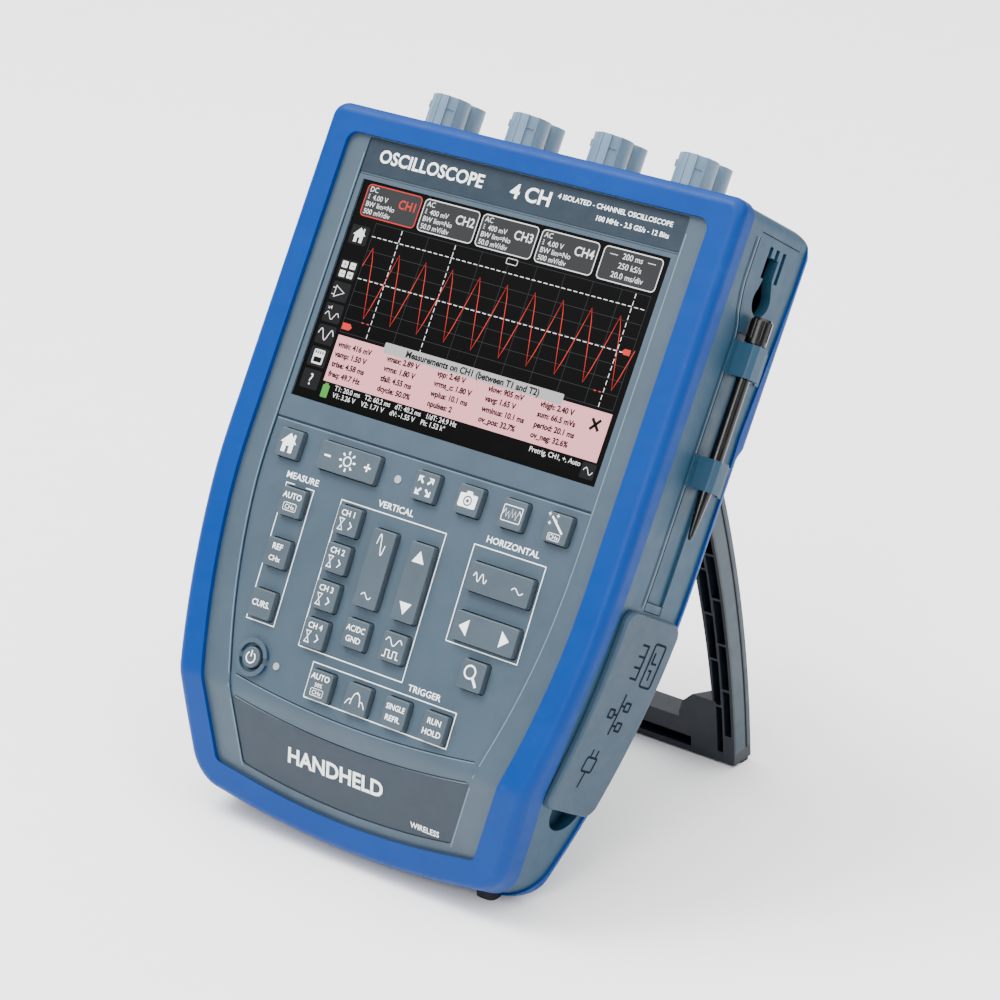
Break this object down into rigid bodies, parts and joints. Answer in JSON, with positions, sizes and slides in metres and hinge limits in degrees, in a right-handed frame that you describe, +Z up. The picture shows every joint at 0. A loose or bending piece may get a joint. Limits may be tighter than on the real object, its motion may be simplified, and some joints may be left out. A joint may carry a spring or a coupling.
{
  "type": "handheld oscilloscope",
  "caption": "Portable oscilloscope with touch screen, keypad, insulated input sockets, port cover, stylus and fold-out stand.",
  "frame": {"origin": "middle of the bounding box, on the floor plane", "axes": "+X to the right seen from the screen side, +Y towards the back, +Z up; it stands on its rubber feet and open stand, leant back 31 degrees"},
  "size_m": [0.2196, 0.1824, 0.2813],
  "materials": {
    "panel_grey": "fine moulded texture",
    "case_grey": "fine moulded texture",
    "bumper_blue": "satin over-moulded elastomer",
    "bezel_grey": "satin",
    "screen_glass": "clear over a dark display",
    "lcd_frame": "matt",
    "label_slate": "printed film",
    "membrane_rubber": "silicone",
    "circuit_board": "solder mask",
    "shield_steel": "tinned",
    "seal_rubber": "matt",
    "battery_wrap": "shrink film",
    "fastener_steel": "zinc plated",
    "contact_brass": "gold plated",
    "lamp_clear": "clear moulded",
    "foot_rubber": "matt",
    "cover_rubber": "satin elastomer",
    "stylus_black": "gloss",
    "stand_plastic": "satin",
    "socket_grey": "satin",
    "key_grey": "satin silicone"
  },
  "bodies": {
    "housing": {"battery_door": "case_grey", "battery_pack": "battery_wrap", "bottom_label": "label_slate", "card_slot": "shield_steel", "display_glass": "screen_glass", "ethernet_jack": "shield_steel", "front_bumper": "bumper_blue", "front_shell": "panel_grey", "housing_screws": "fastener_steel", "housing_seal": "seal_rubber", "input_contacts": "contact_brass", "input_panel": "case_grey", "input_shields": "shield_steel", "input_socket_1": "socket_grey", "input_socket_2": "socket_grey", "input_socket_3": "socket_grey", "input_socket_4": "socket_grey", "io_board": "circuit_board", "keypad_board": "circuit_board", "keypad_membrane": "membrane_rubber", "lcd_module": "lcd_frame", "main_board": "circuit_board", "rear_bumper": "bumper_blue", "rear_shell": "case_grey", "rubber_feet": "foot_rubber", "screen_bezel": "bezel_grey", "status_lamps": "lamp_clear", "stylus_clips": "case_grey", "top_label": "label_slate", "usb_ports": "shield_steel"},
    "stand": {"stand_frame": "stand_plastic", "stand_hinge_pins": "fastener_steel", "stand_feet": "foot_rubber"},
    "port_cover": {"port_cover": "cover_rubber"},
    "stylus": {"stylus": "stylus_black"},
    "home_key": {"home_key": "key_grey"},
    "full_screen_key": {"full_screen_key": "key_grey"},
    "screenshot_key": {"screenshot_key": "key_grey"},
    "waveform_key": {"waveform_key": "key_grey"},
    "auto_setup_key": {"auto_setup_key": "key_grey"},
    "measure_auto_key": {"measure_auto_key": "key_grey"},
    "measure_ref_key": {"measure_ref_key": "key_grey"},
    "cursors_key": {"cursors_key": "key_grey"},
    "channel_1_key": {"channel_1_key": "key_grey"},
    "channel_2_key": {"channel_2_key": "key_grey"},
    "channel_3_key": {"channel_3_key": "key_grey"},
    "channel_4_key": {"channel_4_key": "key_grey"},
    "coupling_key": {"coupling_key": "key_grey"},
    "math_key": {"math_key": "key_grey"},
    "zoom_key": {"zoom_key": "key_grey"},
    "trigger_auto_key": {"trigger_auto_key": "key_grey"},
    "trigger_slope_key": {"trigger_slope_key": "key_grey"},
    "single_key": {"single_key": "key_grey"},
    "run_key": {"run_key": "key_grey"},
    "brightness_rocker": {"brightness_rocker": "key_grey"},
    "sensitivity_rocker": {"sensitivity_rocker": "key_grey"},
    "position_rocker": {"position_rocker": "key_grey"},
    "time_base_rocker": {"time_base_rocker": "key_grey"},
    "time_position_rocker": {"time_position_rocker": "key_grey"},
    "power_key": {"power_key": "key_grey"}
  },
  "joints": [
    {"name": "home_key_press", "type": "slide", "parent": "housing", "child": "home_key", "axis": [0, 0.8588, -0.5124], "range_m": [0, 0.0008], "stiffness_N_per_m": 400},
    {"name": "full_screen_key_press", "type": "slide", "parent": "housing", "child": "full_screen_key", "axis": [0, 0.8588, -0.5124], "range_m": [0, 0.0008], "stiffness_N_per_m": 400},
    {"name": "screenshot_key_press", "type": "slide", "parent": "housing", "child": "screenshot_key", "axis": [0, 0.8588, -0.5124], "range_m": [0, 0.0008], "stiffness_N_per_m": 400},
    {"name": "waveform_key_press", "type": "slide", "parent": "housing", "child": "waveform_key", "axis": [0, 0.8588, -0.5124], "range_m": [0, 0.0008], "stiffness_N_per_m": 400},
    {"name": "auto_setup_key_press", "type": "slide", "parent": "housing", "child": "auto_setup_key", "axis": [0, 0.8588, -0.5124], "range_m": [0, 0.0008], "stiffness_N_per_m": 400},
    {"name": "measure_auto_key_press", "type": "slide", "parent": "housing", "child": "measure_auto_key", "axis": [0, 0.8884, -0.4591], "range_m": [0, 0.0008], "stiffness_N_per_m": 400},
    {"name": "measure_ref_key_press", "type": "slide", "parent": "housing", "child": "measure_ref_key", "axis": [0, 0.8884, -0.4591], "range_m": [0, 0.0008], "stiffness_N_per_m": 400},
    {"name": "cursors_key_press", "type": "slide", "parent": "housing", "child": "cursors_key", "axis": [0, 0.8884, -0.4591], "range_m": [0, 0.0008], "stiffness_N_per_m": 400},
    {"name": "channel_1_key_press", "type": "slide", "parent": "housing", "child": "channel_1_key", "axis": [0, 0.8884, -0.4591], "range_m": [0, 0.0008], "stiffness_N_per_m": 400},
    {"name": "channel_2_key_press", "type": "slide", "parent": "housing", "child": "channel_2_key", "axis": [0, 0.8884, -0.4591], "range_m": [0, 0.0008], "stiffness_N_per_m": 400},
    {"name": "channel_3_key_press", "type": "slide", "parent": "housing", "child": "channel_3_key", "axis": [0, 0.8884, -0.4591], "range_m": [0, 0.0008], "stiffness_N_per_m": 400},
    {"name": "channel_4_key_press", "type": "slide", "parent": "housing", "child": "channel_4_key", "axis": [0, 0.8884, -0.4591], "range_m": [0, 0.0008], "stiffness_N_per_m": 400},
    {"name": "coupling_key_press", "type": "slide", "parent": "housing", "child": "coupling_key", "axis": [0, 0.8884, -0.4591], "range_m": [0, 0.0008], "stiffness_N_per_m": 400},
    {"name": "math_key_press", "type": "slide", "parent": "housing", "child": "math_key", "axis": [0, 0.8884, -0.4591], "range_m": [0, 0.0008], "stiffness_N_per_m": 400},
    {"name": "zoom_key_press", "type": "slide", "parent": "housing", "child": "zoom_key", "axis": [0, 0.8884, -0.4591], "range_m": [0, 0.0008], "stiffness_N_per_m": 400},
    {"name": "trigger_auto_key_press", "type": "slide", "parent": "housing", "child": "trigger_auto_key", "axis": [0, 0.8884, -0.4591], "range_m": [0, 0.0008], "stiffness_N_per_m": 400},
    {"name": "trigger_slope_key_press", "type": "slide", "parent": "housing", "child": "trigger_slope_key", "axis": [0, 0.8884, -0.4591], "range_m": [0, 0.0008], "stiffness_N_per_m": 400},
    {"name": "single_key_press", "type": "slide", "parent": "housing", "child": "single_key", "axis": [0, 0.8884, -0.4591], "range_m": [0, 0.0008], "stiffness_N_per_m": 400},
    {"name": "run_key_press", "type": "slide", "parent": "housing", "child": "run_key", "axis": [0, 0.8884, -0.4591], "range_m": [0, 0.0008], "stiffness_N_per_m": 400},
    {"name": "power_key_press", "type": "slide", "parent": "housing", "child": "power_key", "axis": [0, 0.8884, -0.4591], "range_m": [0, 0.0008], "stiffness_N_per_m": 400},
    {"name": "brightness_rocker_rock", "type": "hinge", "parent": "housing", "child": "brightness_rocker", "pos_m": [-0.042, -0.0324, 0.14844], "axis": [0, 0.5124, 0.8588], "range_deg": [-2.5, 2.5], "stiffness_Nm_per_rad": 0.05},
    {"name": "sensitivity_rocker_rock", "type": "hinge", "parent": "housing", "child": "sensitivity_rocker", "pos_m": [-0.0131, -0.05026, 0.11542], "axis": [1, 0, 0], "range_deg": [-2.5, 2.5], "stiffness_Nm_per_rad": 0.05},
    {"name": "position_rocker_rock", "type": "hinge", "parent": "housing", "child": "position_rocker", "pos_m": [0.0069, -0.0504, 0.11515], "axis": [1, 0, 0], "range_deg": [-2.5, 2.5], "stiffness_Nm_per_rad": 0.05},
    {"name": "time_base_rocker_rock", "type": "hinge", "parent": "housing", "child": "time_base_rocker", "pos_m": [0.0475, -0.04566, 0.12432], "axis": [0, 0.4591, 0.8884], "range_deg": [-2.5, 2.5], "stiffness_Nm_per_rad": 0.05},
    {"name": "time_position_rocker_rock", "type": "hinge", "parent": "housing", "child": "time_position_rocker", "pos_m": [0.0475, -0.05495, 0.10634], "axis": [0, 0.4591, 0.8884], "range_deg": [-2.5, 2.5], "stiffness_Nm_per_rad": 0.05},
    {"name": "stand_hinge", "type": "hinge", "parent": "housing", "child": "stand", "pos_m": [-0.0045, 0.03456, 0.17742], "axis": [1, 0, 0], "range_deg": [-46.5, 0]},
    {"name": "port_cover_hinge", "type": "hinge", "parent": "housing", "child": "port_cover", "pos_m": [0.10157, -0.02199, 0.11777], "axis": [0, -0.8588, 0.5124], "range_deg": [0, 120]},
    {"name": "stylus_lift", "type": "slide", "parent": "housing", "child": "stylus", "axis": [0, 0.5124, 0.8588], "range_m": [0, 0.1]}
  ]
}
